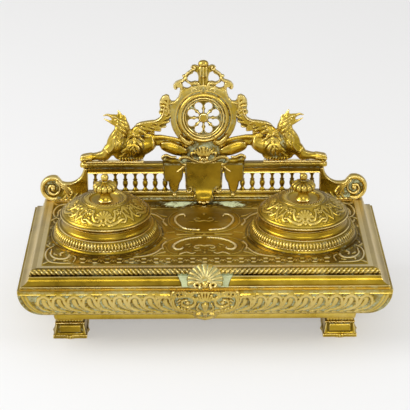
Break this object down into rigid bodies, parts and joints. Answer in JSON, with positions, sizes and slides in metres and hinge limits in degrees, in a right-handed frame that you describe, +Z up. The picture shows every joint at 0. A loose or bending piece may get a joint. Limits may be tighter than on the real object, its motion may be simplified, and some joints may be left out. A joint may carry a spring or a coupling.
{
  "type": "desk inkstand",
  "caption": "Footed brass desk inkstand with hinged lidded ink wells and a pierced figural gallery along its back.",
  "frame": {"origin": "on the desk, at the middle of the stand's overall length and depth", "axes": "+X to the right along the stand, +Y to the gallery at the back, +Z up"},
  "size_m": [0.31, 0.1765, 0.2006],
  "materials": {
    "cast_brass": "aged, with pale green verdigris in the hollows",
    "worn_brass": "rubbed bright on the raised parts",
    "fixings": "dull, darkened",
    "pot_glass": "clear pressed glass"
  },
  "bodies": {
    "stand": {"frieze_box": "cast_brass", "frieze_cartouche": "worn_brass", "foot_front_left": "worn_brass", "foot_front_right": "worn_brass", "foot_rear_left": "worn_brass", "foot_rear_right": "worn_brass", "foot_screws": "fixings", "deck_plate": "cast_brass", "shell_mount": "worn_brass", "deck_screws": "fixings", "well_collar_left": "cast_brass", "well_collar_right": "cast_brass", "collar_screws": "fixings", "ink_pot_left": "pot_glass", "ink_pot_right": "pot_glass", "hinge_pin_left": "fixings", "hinge_pin_right": "fixings", "gallery_bottom_rail": "cast_brass", "balusters_left": "worn_brass", "balusters_right": "worn_brass", "gallery_top_rail": "cast_brass", "gallery_scroll_left": "cast_brass", "gallery_scroll_right": "cast_brass", "gallery_studs": "fixings", "gallery_nuts": "fixings", "griffin_left": "worn_brass", "griffin_right": "worn_brass", "griffin_screws": "fixings", "medallion_plate": "cast_brass", "medallion_rosette": "worn_brass", "crest": "worn_brass", "crest_knob": "worn_brass", "medallion_screws": "fixings", "shield": "cast_brass", "lappet_left": "cast_brass", "lappet_right": "cast_brass", "shield_screws": "fixings"},
    "left_lid": {"lid_left": "cast_brass", "lid_finial_left": "worn_brass", "finial_nut_left": "fixings"},
    "right_lid": {"lid_right": "cast_brass", "lid_finial_right": "worn_brass", "finial_nut_right": "fixings"}
  },
  "joints": [
    {"name": "left_lid_hinge", "type": "hinge", "parent": "stand", "child": "left_lid", "pos_m": [-0.0848, 0.03886, 0.091], "axis": [-1, 0, 0], "range_deg": [0, 85]},
    {"name": "right_lid_hinge", "type": "hinge", "parent": "stand", "child": "right_lid", "pos_m": [0.0848, 0.03886, 0.091], "axis": [-1, 0, 0], "range_deg": [0, 85]}
  ]
}
